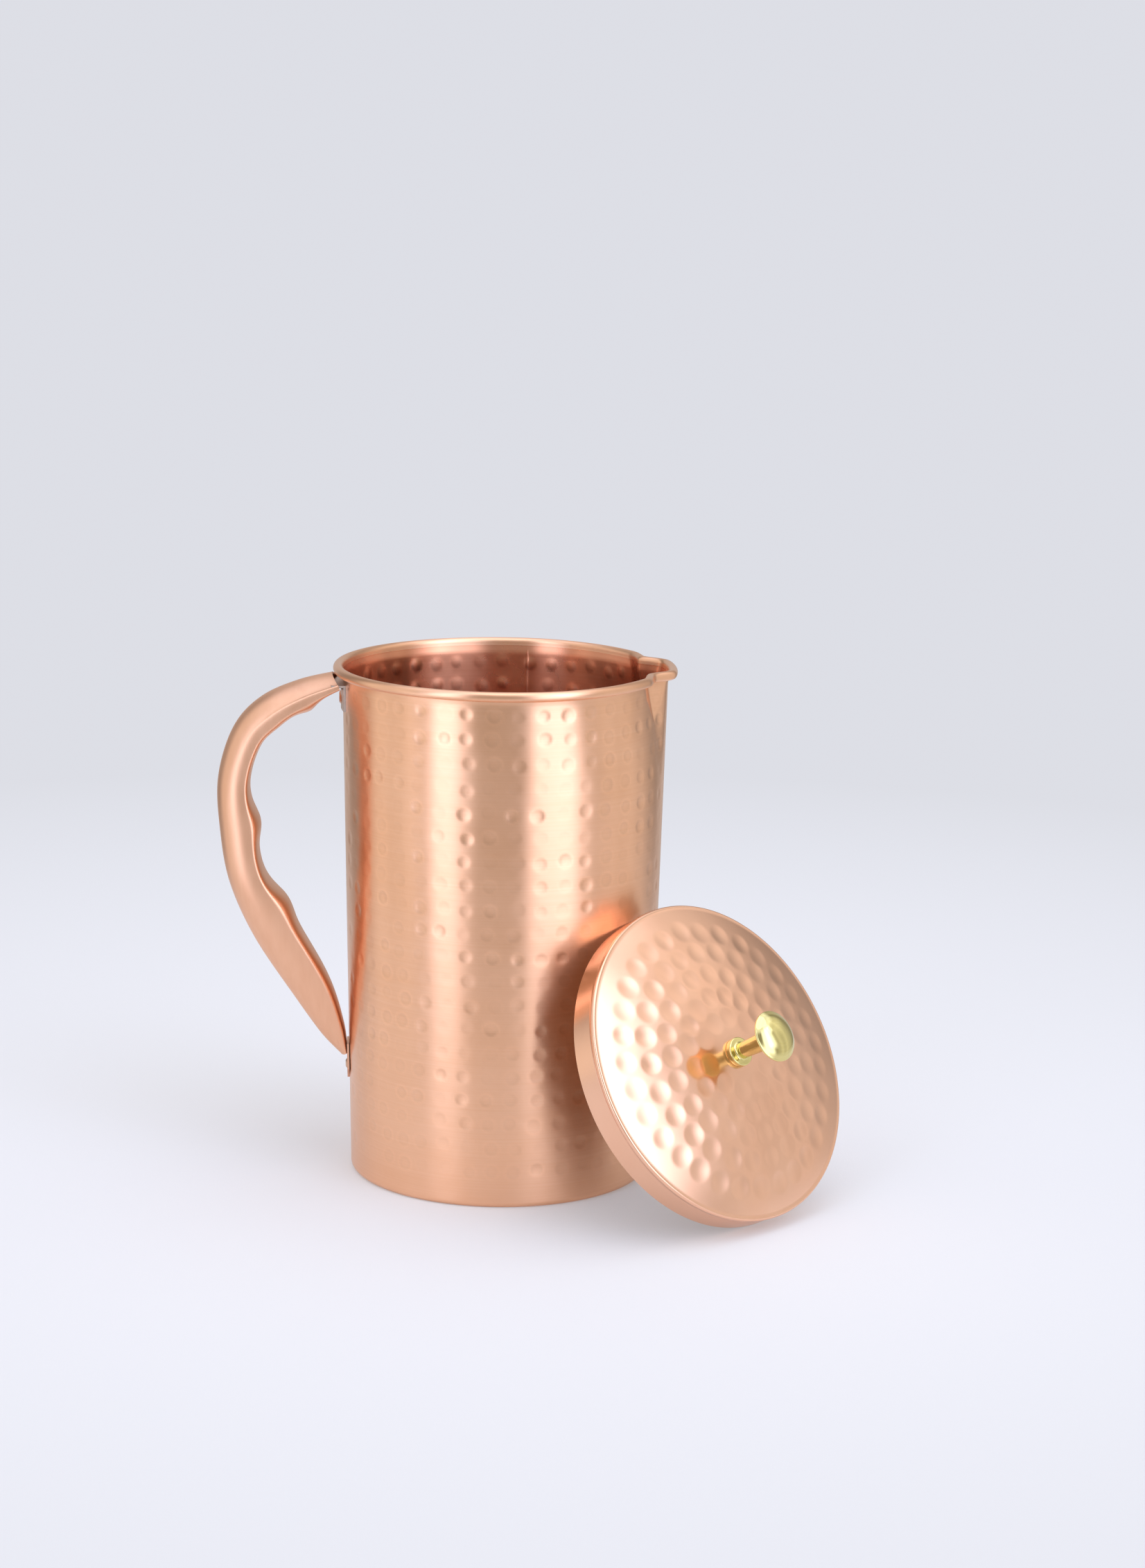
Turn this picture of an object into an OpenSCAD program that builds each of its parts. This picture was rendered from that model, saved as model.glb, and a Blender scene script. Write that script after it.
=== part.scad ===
// Copper water jug with a pinched pouring lip, a hollow finger-grip handle and a loose lid.
// Millimetres. The jug stands on z = 0 with its axis on Z, its handle towards -X and its lip
// towards +X. The lid leans on the wall with its open side against the jug and its knob outwards.

/* [Jug] */
// Overall height, to the top of the curled rim
jug_h = 188; // [150:1:240]
// Outer radius of the wall just under the rim
wall_r_top = 59; // [48:0.5:72]
// Outer radius of the wall at the base
wall_r_base = 55; // [45:0.5:66]
// Thickness of the copper sheet
sheet = 0.8; // [0.6:0.05:1.2]
// Radius of the tube that the rim is curled into
curl_r = 1.75; // [1.5:0.05:2.6]
// How far the mouth flares outwards just under the curl
rim_flare = 0.6; // [0:0.1:1.5]
// Outer radius of the corner between wall and base
corner_r = 2; // [1.5:0.1:5]
// Width of the flange that the wall turns in under the base plate
base_flange = 6; // [4:0.5:12]

/* [Pouring lip] */
// Angle from the middle of the lip to each fold
fold_angle = 21; // [16:1:30]
// Angle that each fold spreads to either side at the rim
fold_spread = 11; // [6:1:14]
// Depth of the fold at the rim
fold_depth = 2.4; // [1:0.1:4]
// Distance that the fold runs down from the rim
fold_drop = 17; // [10:1:30]
// Inward flattening of the rim beside the folds
flat_depth = 3.4; // [1:0.1:5]
// Distance over which the flattening fades out down the wall
flat_drop = 42; // [30:1:60]

/* [Handle] */
// Distance from the wall to the handle's furthest crown
handle_reach = 46; // [36:1:60]
// Height of the handle, from under the rim to its lower end
handle_h = 143; // [110:1:150]
// Distance from the top of the rim down to the handle's crown at the wall
handle_drop = 3.2; // [3:0.1:10]
// Width of the handle at its top end
handle_w_top = 24; // [16:1:30]
// Width of the handle in the grip
handle_w_grip = 21; // [14:1:28]
// Width of the handle at its lower end
handle_w_end = 9; // [6:1:14]
// Height of the ridges between the fingers
ridge_h = 2; // [0:0.1:3]

/* [Handle fixings] */
// Height of the bracket's leg on the wall
bracket_h = 9.5; // [8:0.5:16]
// Length of the bracket's foot under the handle
bracket_foot = 5; // [4:0.5:8]
// Width of the lower tab
tab_w = 11; // [8:0.5:16]
// Height of the lower tab
tab_h = 14; // [12:0.5:20]
// Radius of a rivet's shank
rivet_r = 1.2; // [0.8:0.1:1.6]
// Radius of a rivet's head
rivet_head_r = 2; // [1.7:0.1:2.4]
// Height of a rivet's head
rivet_head_h = 0.6; // [0.4:0.1:1.2]
// Distance between the bracket's two rivets
rivet_spacing = 8.5; // [6:0.5:12]

/* [Lid] */
// Radial clearance between the lid's skirt and the mouth
lid_clearance = 0.4; // [0.2:0.1:1]
// Height of the skirt, from its open edge to the flat border
skirt_h = 11.2; // [8:0.1:18]
// How far the pressed edge stands out past the skirt
lid_edge = 0.5; // [0.4:0.1:1.5]
// Width of the lid's flat border
border_w = 1.6; // [1.2:0.2:8]
// Rise of the lid's dome above the border
dome_h = 9.2; // [4:0.1:12]
// Radius of the flat boss that the knob sits on
boss_r = 6.5; // [6:0.5:10]

/* [Knob] */
// Radius of the knob's head
knob_r = 9.2; // [7:0.1:12]
// Distance from the boss to the rim of the head
knob_neck = 19.3; // [14:0.1:24]
// Height of the head's dome
knob_dome = 2.8; // [2:0.1:5]
// Thickness of the head's rim
knob_rim = 0.8; // [0.6:0.1:1.5]
// Radius of the stem at the flange
stem_r = 2.9; // [2.7:0.1:4]
// Radius of the stem under the head
stem_r_head = 3.4; // [2.7:0.1:4.5]
// Radius of the knob's flange
flange_r = 5.4; // [4.5:0.1:6]
// Thickness of the knob's flange
flange_h = 2.2; // [1.5:0.1:3]
// Radius of the knob's screw
screw_r = 1.9; // [1.5:0.1:2]
// Depth of the screw in the knob
screw_depth = 9; // [6:0.5:11]

/* [Leaning lid] */
// Angle of the lid's axis above the floor
lean = 29.4; // [20:0.2:45]
// Direction that the knob points, round the jug from the lip
lean_azimuth = -47.5; // [-60:0.5:-30]
// Direction of the lid's centre, round the jug from the lip
lean_side = -37.6; // [-50:0.5:-25]
// Gap between the lid and what it rests on
rest_gap = 0.3; // [0.2:0.1:1]

/* [Hidden] */
$fn = 96;

COPPER = [0.80, 0.53, 0.38];
INNER_COPPER = [0.66, 0.40, 0.28];
TINNED = [0.74, 0.68, 0.64];
BRASS = [0.84, 0.70, 0.36];
STEEL = [0.62, 0.62, 0.62];

// ---- shared curves -------------------------------------------------------------------------

// Outer radius of the plain wall at height z
function wall_r(z) = wall_r_base + (wall_r_top - wall_r_base) * z / jug_h;
wall_tilt = atan((wall_r_top - wall_r_base) / jug_h);

// 0 below t = 0, 1 above t = 1 and a smooth step between
function smooth_step(t) = let (c = max(0, min(1, t))) c * c * (3 - 2 * c);

// Catmull-Rom curve through a list of rows, at parameter u from 0 to len(rows) - 1
function spline(rows, u) =
    let (n = len(rows) - 1)
    let (i = min(floor(u), n - 1))
    let (t = u - i)
    let (a = rows[max(i - 1, 0)])
    let (b = rows[i])
    let (c = rows[i + 1])
    let (d = rows[min(i + 2, n)])
    0.5 * (2 * b + (c - a) * t + (2 * a - 5 * b + 4 * c - d) * t * t
           + (3 * b - a - 3 * c + d) * t * t * t);

// Two triangles between corners a-b of one ring and d-c of the next
function quad(a, b, c, d) = [[a, b, c], [a, c, d]];

// ---- wall ----------------------------------------------------------------------------------

curl_z = jug_h - curl_r;
mouth_r = wall_r_top - sheet;
curl_mid_r = mouth_r + rim_flare + curl_r;
flare_h = 4;
curl_end = -105;
curl_step = 30;
wall_depths = [0, 2.5, 5, 8, 11, 14, 18, 24, 32, 45, 75];
lip_zone = 36;
lip_step = 2.25;
wall_step = 6;

// Angles round the wall, finer across the lip
wall_angles = concat([for (a = [-lip_zone:lip_step:lip_zone - lip_step]) a],
                     [for (a = [lip_zone:wall_step:360 - lip_zone - wall_step]) a]);

// Share of the full flattening at angle a from the middle of the lip
function flat_share(a) =
    smooth_step((a - fold_angle + 9) / 8) * (1 - smooth_step((a - fold_angle - 8) / 55));

// Inward shift of the wall at angle a from the lip and depth d below the flare
function pinch(a, d) =
    let (v = max(0, 1 - d / fold_drop))
    let (across = abs(a - fold_angle) / (fold_spread * max(v, 0.05)))
    flat_depth * flat_share(a) * (1 - smooth_step(d / flat_drop))
    + fold_depth * v * max(0, 1 - across);

// Half profile of the sheet from the base flange up the inside, over the curl and down the outside
function flare(d) = rim_flare * (1 - smooth_step(d / flare_h));
function inner_wall(d) = let (z = curl_z - d) [wall_r(z) - sheet + flare(d), z];
function outer_wall(d) = let (z = curl_z - curl_r - d) [wall_r(z) + flare(d + curl_r), z];
function curl_point(r, a) = [curl_mid_r + r * cos(a), curl_z + r * sin(a)];
corner_mid_r = wall_r(corner_r) - corner_r;
function corner_point(r, a) = [corner_mid_r + r * cos(a), corner_r + r * sin(a)];

flange_r_in = corner_mid_r - base_flange;
inner_corner = corner_r - sheet;
wall_profile = concat(
    [[flange_r_in, 0], [flange_r_in, sheet]],
    [for (a = [-90:45:0]) corner_point(inner_corner, a)],
    [for (i = [len(wall_depths) - 1:-1:0]) inner_wall(wall_depths[i])],
    [for (a = [180 - curl_step:-curl_step:curl_end + 1]) curl_point(curl_r, a)],
    [curl_point(curl_r, curl_end), curl_point(curl_r - sheet, curl_end)],
    [for (a = [-90:curl_step:150]) curl_point(curl_r - sheet, a)],
    [for (d = wall_depths) outer_wall(d)],
    [for (a = [0:-30:-90]) corner_point(corner_r, a)]);

function wall_point(p, a) =
    let (lip_a = abs(a > 180 ? a - 360 : a))
    let (r = p[0] - pinch(lip_a, max(0, curl_z - p[1])))
    [r * cos(a), r * sin(a), p[1]];

module body_wall() {
    n = len(wall_profile);
    m = len(wall_angles);
    points = [for (a = wall_angles) for (p = wall_profile) wall_point(p, a)];
    faces = [for (j = [0:m - 1]) for (i = [0:n - 1])
        let (k = (j + 1) % m)
        let (l = (i + 1) % n)
        each quad(j * n + i, k * n + i, k * n + l, j * n + l)];
    color(COPPER)
    difference() {
        polyhedron(points, faces, convexity = 8);
        rivet_holes();
    }
}

// ---- base ----------------------------------------------------------------------------------

base_gap = 0.3;
plate_r = corner_mid_r - 0.2;
plate_step_r = flange_r_in - base_gap;

// A joggled disc: its middle is flush with the wall's flange and its edge lies on top of it
module base_plate() {
    color(INNER_COPPER)
    rotate_extrude()
    polygon([[0, 0], [plate_step_r, 0], [plate_step_r, sheet], [plate_r, sheet],
             [plate_r, 2 * sheet], [plate_step_r - sheet, 2 * sheet],
             [plate_step_r - sheet, sheet], [0, sheet]]);
}

// ---- handle --------------------------------------------------------------------------------

// The handle's pinched lower end lies on the lower tab, sunk into its braze
handle_end_t = 2.6;
end_out = sheet + handle_end_t / 2 - 0.3;

// Rows along the handle: outwards from the wall as a share of the reach, down as a share of the
// height, thickness, and how far the section is a lens with sharp edges (1) or an ellipse (0)
handle_rows = [
    [0.060, 0.022, 6.0, 1.0],
    [0.311, 0.054, 9.7, 0.7],
    [0.565, 0.101, 12.4, 0.35],
    [0.754, 0.165, 11.9, 0.1],
    [0.866, 0.278, 11.8, 0],
    [0.846, 0.400, 13.2, 0],
    [0.781, 0.530, 13.6, 0],
    [0.580, 0.662, 16.2, 0],
    [0.300, 0.815, 14.7, 0],
    [0.133, 0.928, 9.4, 0.2],
    [end_out / handle_reach, 0.995, handle_end_t, 0.5]];
// Ridges between the fingers, at these rows along the inside of the handle
ridge_rows = [1.0, 4.95, 6.7];
ridge_len = 0.34;
handle_rings = 44;
handle_sides = 24;
handle_top_z = jug_h - handle_drop;
last_row = len(handle_rows) - 1;

function handle_mid(u) =
    let (row = spline(handle_rows, u))
    let (z = handle_top_z - row[1] * handle_h)
    [wall_r(z) + row[0] * handle_reach, z];
function handle_width(u) =
    let (s = u / last_row)
    s < 0.3 ? handle_w_top + (handle_w_grip - handle_w_top) * smooth_step(s / 0.3)
            : handle_w_grip + (handle_w_end - handle_w_grip) * smooth_step((s - 0.62) / 0.38);
function ridge(u) =
    ridge_h * max([for (r = ridge_rows) exp(-pow((u - r) / ridge_len, 2))]);

// Point of the section at row u and angle a, in from the outer surface by w. Angle 90 is the
// crown, away from the jug, and 270 is the side that the fingers hold.
function handle_point(u, a, w) =
    let (e = 0.02)
    let (step = handle_mid(min(u + e, last_row)) - handle_mid(max(u - e, 0)))
    let (out = [-step[1], step[0]] / norm(step))
    let (row = spline(handle_rows, u))
    let (bump = sin(a) < 0 ? ridge(u) * pow(abs(sin(a)), 3) : 0)
    let (half_t = row[2] / 2 + bump - w)
    let (across = (handle_width(u) / 2 - w) * cos(a))
    let (up = sign(sin(a)) * half_t * pow(abs(sin(a)), 1 + max(0, row[3])))
    let (p = handle_mid(u) + out * up)
    [-p[0], across, p[1]];

function handle_ring(u, w) =
    [for (k = [0:handle_sides - 1]) handle_point(u, 360 * (k + 0.5) / handle_sides, w)];

// The shell is open at the bracket and closed at the lower end
module handle_shell() {
    n = handle_sides;
    m = handle_rings;
    end_u = last_row - 0.12;
    outer = [for (j = [0:m]) each handle_ring(last_row * j / m, 0)];
    inner = [for (j = [0:m]) each handle_ring(end_u * j / m, sheet)];
    base = len(outer);
    points = concat(outer, inner);
    sides = [for (j = [0:m - 1]) for (k = [0:n - 1])
        let (l = (k + 1) % n)
        each quad(j * n + k, j * n + l, (j + 1) * n + l, (j + 1) * n + k)];
    lining = [for (j = [0:m - 1]) for (k = [0:n - 1])
        let (l = (k + 1) % n)
        each quad(base + j * n + l, base + j * n + k,
                  base + (j + 1) * n + k, base + (j + 1) * n + l)];
    mouth = [for (k = [0:n - 1])
        let (l = (k + 1) % n)
        each quad(k, base + k, base + l, l)];
    outer_end = [for (k = [1:n - 2]) [m * n, m * n + k, m * n + k + 1]];
    inner_end = [for (k = [1:n - 2]) [base + m * n, base + m * n + k + 1, base + m * n + k]];
    color(COPPER)
    polyhedron(points, concat(sides, lining, mouth, outer_end, inner_end), convexity = 10);
}

// ---- handle fixings ------------------------------------------------------------------------

bracket_z = handle_top_z - 3.4;
rivet_z = bracket_z - 0.62 * bracket_h;
tab_top_z = handle_top_z - 0.965 * handle_h;
tab_rivet_z = tab_top_z - 0.62 * tab_h;

// Places the X axis along the wall's outward normal at height z, turned round the jug from the
// middle of the handle's side by an angle
module on_wall(z, turn = 0) {
    rotate([0, 0, turn])
    translate([-wall_r(z), 0, z])
    rotate([0, 180 - wall_tilt, 0])
    mirror([0, 0, 1])
    children();
}

module shank() {
    translate([-2 * sheet, 0, 0])
    rotate([0, 90, 0])
    cylinder(h = 4 * sheet, r = rivet_r, $fn = 24);
}

rivet_turn = asin(rivet_spacing / 2 / wall_r_top);

module rivet_holes() {
    on_wall(rivet_z, -rivet_turn) shank();
    on_wall(rivet_z, rivet_turn) shank();
    on_wall(tab_rivet_z) shank();
}

// A bent piece of sheet: its leg follows the wall and its foot closes the handle's open end
module upper_bracket() {
    w = handle_w_top - 1;
    low_z = bracket_z - bracket_h;
    top_r = wall_r(bracket_z);
    color(TINNED)
    difference() {
        intersection() {
            rotate_extrude()
            polygon([[wall_r(low_z), low_z], [wall_r(low_z) + sheet, low_z],
                     [top_r + sheet, bracket_z - sheet], [top_r + bracket_foot, bracket_z - sheet],
                     [top_r + bracket_foot, bracket_z], [top_r, bracket_z]]);
            translate([-2 * top_r, -w / 2, 0])
            cube([2 * top_r, w, jug_h]);
        }
        rivet_holes();
    }
}

// A tongue of flat sheet with a pointed lower end
module lower_tab() {
    point_h = tab_w * 0.4;
    color(TINNED)
    difference() {
        on_wall(tab_top_z)
        rotate([0, 90, 0])
        linear_extrude(sheet)
        polygon([[0, -tab_w / 2], [0, tab_w / 2], [tab_h - point_h, tab_w / 2], [tab_h, 0],
                 [tab_h - point_h, -tab_w / 2]]);
        rivet_holes();
    }
}

// How far the wall curves away under a rivet's inner head
head_gap = wall_r_top - sqrt(wall_r_top * wall_r_top - rivet_head_r * rivet_head_r) + 0.1;

// A rivet along X, with a low head outside the fixing and one inside the wall
module rivet() {
    inner_head = -sheet - head_gap;
    rotate([0, 90, 0])
    rotate_extrude($fn = 24)
    polygon([[0, inner_head - rivet_head_h], [rivet_r, inner_head - rivet_head_h],
             [rivet_head_r, inner_head], [rivet_r, inner_head], [rivet_r, sheet],
             [rivet_head_r, sheet], [rivet_r, sheet + rivet_head_h],
             [0, sheet + rivet_head_h]]);
}

module upper_rivets() {
    color(TINNED) {
        on_wall(rivet_z, -rivet_turn) rivet();
        on_wall(rivet_z, rivet_turn) rivet();
    }
}

module lower_rivet() {
    color(TINNED)
    on_wall(tab_rivet_z) rivet();
}

// ---- lid -----------------------------------------------------------------------------------

lid_r = mouth_r - lid_clearance;
edge_r = lid_r + lid_edge;
dome_r = edge_r - border_w;
hole_r = screw_r + 0.15;
boss_z = skirt_h + dome_h;
cap_r = (dome_r * dome_r + dome_h * dome_h) / (2 * dome_h);
washer_h = 0.8;
washer_r = 4.5;

// Height of the dome's outer face at radius r, flat on the boss
function dome_z(r) =
    let (full = sqrt(cap_r * cap_r - r * r) - cap_r + dome_h)
    let (top = sqrt(cap_r * cap_r - boss_r * boss_r) - cap_r + dome_h)
    skirt_h + min(full, top);

// Height of the seat for the knob and the washer
seat_z = dome_z(boss_r);

// Moves the lid from its own frame, with the open edge at z = 0 and the knob up, to where it leans
module leaning() {
    translate([lid_reach * cos(lean_side), lid_reach * sin(lean_side), lid_mid_z])
    rotate([0, 90 - lean, lean_azimuth])
    children();
}

// The lowest point of the open edge is just above the floor
lid_mid_z = lid_r * cos(lean) + rest_gap;

// Distance from the jug's axis at which one point of the open edge would just clear the wall
function reach_at(a) =
    let (side = lid_r * cos(a))
    let (up = lid_r * sin(a))
    let (back = -up * sin(lean))
    let (x = back * cos(lean_azimuth) - side * sin(lean_azimuth))
    let (y = back * sin(lean_azimuth) + side * cos(lean_azimuth))
    let (r = wall_r(lid_mid_z + up * cos(lean)) + rest_gap)
    let (along = x * cos(lean_side) + y * sin(lean_side))
    let (over = x * sin(lean_side) - y * cos(lean_side))
    abs(over) < r ? sqrt(r * r - over * over) - along : 0;
lid_reach = max([for (a = [0:2:358]) reach_at(a)]);

module lid_cap() {
    dome_steps = [for (i = [0:9]) boss_r + (dome_r - boss_r) * i / 9];
    color(COPPER)
    leaning()
    rotate_extrude()
    polygon(concat(
        [[lid_r - sheet, 0], [lid_r, 0], [lid_r, skirt_h - 2 * lid_edge - sheet],
         [edge_r, skirt_h - lid_edge - sheet], [edge_r, skirt_h - lid_edge],
         [edge_r - lid_edge, skirt_h]],
        [for (i = [9:-1:0]) [dome_steps[i], dome_z(dome_steps[i])]],
        [[hole_r, seat_z], [hole_r, seat_z - sheet]],
        [for (i = [0:9]) [dome_steps[i], dome_z(dome_steps[i]) - sheet]],
        [[lid_r - sheet, skirt_h - sheet]]));
}

// A turned knob with a flange, a stem that widens upwards and a low domed head
module lid_knob() {
    head_z = knob_neck;
    cap = (knob_r * knob_r + knob_dome * knob_dome) / (2 * knob_dome);
    color(BRASS)
    leaning()
    translate([0, 0, seat_z])
    rotate_extrude($fn = 64)
    polygon(concat(
        [[screw_r + 0.05, 0], [flange_r - 0.3, 0], [flange_r, 0.3], [flange_r, flange_h - 0.3],
         [flange_r - 0.3, flange_h], [stem_r + 0.8, flange_h], [stem_r, flange_h + 0.8],
         [stem_r_head, head_z - 2.2], [stem_r_head + 1.6, head_z - 0.9], [knob_r - 0.4, head_z],
         [knob_r, head_z + knob_rim / 2]],
        [for (i = [0:8])
            let (a = asin(knob_r / cap) * (1 - i / 8))
            [cap * sin(a) * 0.985, head_z + knob_rim + cap * cos(a) - cap + knob_dome]],
        [[0, screw_depth], [screw_r + 0.05, screw_depth]]));
}

module knob_washer() {
    color(STEEL)
    leaning()
    translate([0, 0, seat_z - sheet - washer_h])
    difference() {
        cylinder(h = washer_h, r = washer_r, $fn = 48);
        translate([0, 0, -1])
        cylinder(h = washer_h + 2, r = hole_r, $fn = 48);
    }
}

// A screw from inside the lid into the knob, with a low round head on the washer
module knob_screw() {
    head_z = seat_z - sheet - washer_h;
    head_r = 3.6;
    head_h = 2;
    tip_z = seat_z + screw_depth - 0.5;
    color(STEEL)
    leaning()
    difference() {
        rotate_extrude($fn = 48)
        polygon([[0, head_z - head_h], [head_r - 1.2, head_z - head_h],
                 [head_r, head_z - head_h * 0.4], [head_r, head_z], [screw_r, head_z],
                 [screw_r, tip_z - 0.6], [screw_r - 0.6, tip_z], [0, tip_z]]);
        translate([-head_r, -0.5, head_z - head_h - 1])
        cube([2 * head_r, 1, 1.8]);
    }
}

body_wall();
base_plate();
handle_shell();
upper_bracket();
lower_tab();
upper_rivets();
lower_rivet();
lid_cap();
lid_knob();
knob_washer();
knob_screw();
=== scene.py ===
import math

import bmesh
import bpy
import numpy as np
from mathutils import Matrix, Vector


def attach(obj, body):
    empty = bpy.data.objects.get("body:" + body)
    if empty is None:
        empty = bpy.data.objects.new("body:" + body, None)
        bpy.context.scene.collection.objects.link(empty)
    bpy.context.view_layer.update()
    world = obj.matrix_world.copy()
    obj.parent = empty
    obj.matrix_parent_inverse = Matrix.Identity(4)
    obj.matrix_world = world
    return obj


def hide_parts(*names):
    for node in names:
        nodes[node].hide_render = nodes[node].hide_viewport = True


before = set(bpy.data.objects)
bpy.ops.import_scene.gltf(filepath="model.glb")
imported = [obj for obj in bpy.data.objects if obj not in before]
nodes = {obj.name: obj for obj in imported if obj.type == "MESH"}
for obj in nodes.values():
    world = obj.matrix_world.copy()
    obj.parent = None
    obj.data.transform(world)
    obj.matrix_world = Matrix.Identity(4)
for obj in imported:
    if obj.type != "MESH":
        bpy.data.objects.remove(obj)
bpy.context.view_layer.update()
MM = 0.001

# ---- camera -------------------------------------------------------------------------------------

CAMERA_AT = Vector((-0.0532, -1.2369, 0.39435))
YAW, PITCH, ROLL = 0.0631, 0.1996, 0.017
LENS_MM, SENSOR_MM = 79.56, 36


def make_camera():
    """The camera, turned by yaw and pitch, then rolled about its view."""
    ahead = Vector((math.sin(YAW) * math.cos(PITCH), math.cos(YAW) * math.cos(PITCH),
                    -math.sin(PITCH)))
    right = Vector((math.cos(YAW), -math.sin(YAW), 0))
    up = right.cross(ahead)
    right_rolled = math.cos(ROLL) * right + math.sin(ROLL) * up
    up_rolled = -math.sin(ROLL) * right + math.cos(ROLL) * up
    data = bpy.data.cameras.new("camera")
    data.lens = LENS_MM
    data.sensor_width = SENSOR_MM
    data.clip_start = 0.05
    data.clip_end = 60
    cam = bpy.data.objects.new("camera", data)
    turn = Matrix((right_rolled, up_rolled, -ahead)).transposed().to_4x4()
    cam.matrix_world = Matrix.Translation(CAMERA_AT) @ turn
    bpy.context.scene.collection.objects.link(cam)
    bpy.context.scene.camera = cam


make_camera()

# ---- sizes of the CAD part, in mm ---------------------------------------------------------------

JUG_H, R_TOP, R_BASE, SHEET = 188.0, 59.0, 55.0, 0.8
CURL_R, RIM_FLARE, CORNER_R, FLANGE = 1.75, 0.6, 2.0, 6.0
FOLD_AT, FOLD_SPREAD, FOLD_DEPTH, FOLD_DROP = 21.0, 11.0, 2.4, 17.0
FLAT_DEPTH, FLAT_DROP = 3.4, 42.0
CURL_Z = JUG_H - CURL_R
CURL_MID = R_TOP - SHEET + RIM_FLARE + CURL_R


def smooth(t):
    """A smooth step from 0 to 1."""
    t = np.clip(t, 0, 1)
    return t * t * (3 - 2 * t)


def wall_r(z):
    """The wall's outer radius at height z."""
    return R_BASE + (R_TOP - R_BASE) * np.asarray(z, float) / JUG_H


def spline(rows, u):
    """A Catmull-Rom curve through rows, with row numbers as its parameter."""
    rows = np.asarray(rows, float)
    n = len(rows) - 1
    u = np.asarray(u, float)
    i = np.minimum(np.floor(u).astype(int), n - 1)
    t = (u - i)[..., None]
    a, b = rows[np.maximum(i - 1, 0)], rows[i]
    c, d = rows[i + 1], rows[np.minimum(i + 2, n)]
    return 0.5 * (2 * b + (c - a) * t + (2 * a - 5 * b + 4 * c - d) * t ** 2
                  + (3 * b - a - 3 * c + d) * t ** 3)


# ---- meshes -------------------------------------------------------------------------------------

def add_mesh(name, verts, faces, sharp=40, slots=None):
    """A mesh object from points in metres, smooth but for edges over an angle in degrees."""
    mesh = bpy.data.meshes.new(name)
    mesh.from_pydata(np.asarray(verts).tolist(), [], np.asarray(faces).tolist())
    mesh.update()
    obj = bpy.data.objects.new(name, mesh)
    bpy.context.scene.collection.objects.link(obj)
    mesh.shade_smooth()
    mesh.set_sharp_from_angle(angle=math.radians(sharp))
    if slots is not None:
        mesh.polygons.foreach_set("material_index", np.asarray(slots, np.int32))
    return obj


def loop_faces(rings, count, wrap_rings=True):
    """Quads between rings of count points each, each ring closed."""
    j = np.arange(rings if wrap_rings else rings - 1)
    i = np.arange(count)
    jj, ii = np.meshgrid(j, i, indexing="ij")
    k, l = (jj + 1) % rings, (ii + 1) % count
    return np.stack([jj * count + ii, k * count + ii, k * count + l, jj * count + l],
                    -1).reshape(-1, 4)


def arc(mid, radius, start, end, steps):
    """Points of an arc between two angles in degrees."""
    a = np.radians(np.linspace(start, end, steps))
    return np.stack([mid[0] + radius * np.cos(a), mid[1] + radius * np.sin(a)], -1)


def angle_gap(angles, at):
    """How far each angle is from one angle, in degrees from -180 to 180."""
    return (angles - at + 180) % 360 - 180


# ---- jug wall -----------------------------------------------------------------------------------

def flat_share(a):
    """How far the wall beside the lip is flattened, at angle a from the lip's middle."""
    return smooth((a - FOLD_AT + 10.5) / 10.5) * (1 - smooth((a - FOLD_AT - 8) / 55))


def pinch(a, d):
    """Inward shift of the wall at angles a from the lip and depths d below the rim."""
    v = np.maximum(0, 1 - d / FOLD_DROP)
    across = np.abs(a - FOLD_AT) / (FOLD_SPREAD * np.maximum(v, 0.05))
    fold = np.maximum(0, 1 - across)
    return (FLAT_DEPTH * flat_share(a) * (1 - smooth(d / FLAT_DROP))
            + FOLD_DEPTH * v * 0.5 * (fold ** 1.2 + smooth(fold)))


SEAM_AT, SEAM_HALF = 79.5, 0.3
MARK_ROWS, MARK_COLUMNS, MARK_PITCH, TOP_MARKS = 20, 41, 8.7, 179.0
MARK_DEPTHS, MARK_CHANCES = [0.05, 0.10, 0.14, 0.19], [0.3, 0.3, 0.25, 0.15]
# How far a mark's surround reaches, in radii of the mark
MARK_REACH = 2.6


def wall_spots():
    """The wall's hammer marks, deepest in the two top rows and fainter towards the base."""
    rng = np.random.default_rng(7)
    spots = []
    drift = 0.0
    for row in range(MARK_ROWS):
        z = TOP_MARKS - MARK_PITCH * row
        drift += rng.uniform(-1.2, 1.2)
        fade = 1.25 if row < 2 else 1.0 - 0.4 * row / (MARK_ROWS - 1)
        for col in range(MARK_COLUMNS):
            at = 360 * col / MARK_COLUMNS + drift + rng.uniform(-0.9, 0.9)
            depth = fade * rng.choice(MARK_DEPTHS, p=MARK_CHANCES)
            spots.append((at % 360, z + rng.uniform(-0.7, 0.7), rng.uniform(2.2, 2.7), depth))
    return spots


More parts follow.
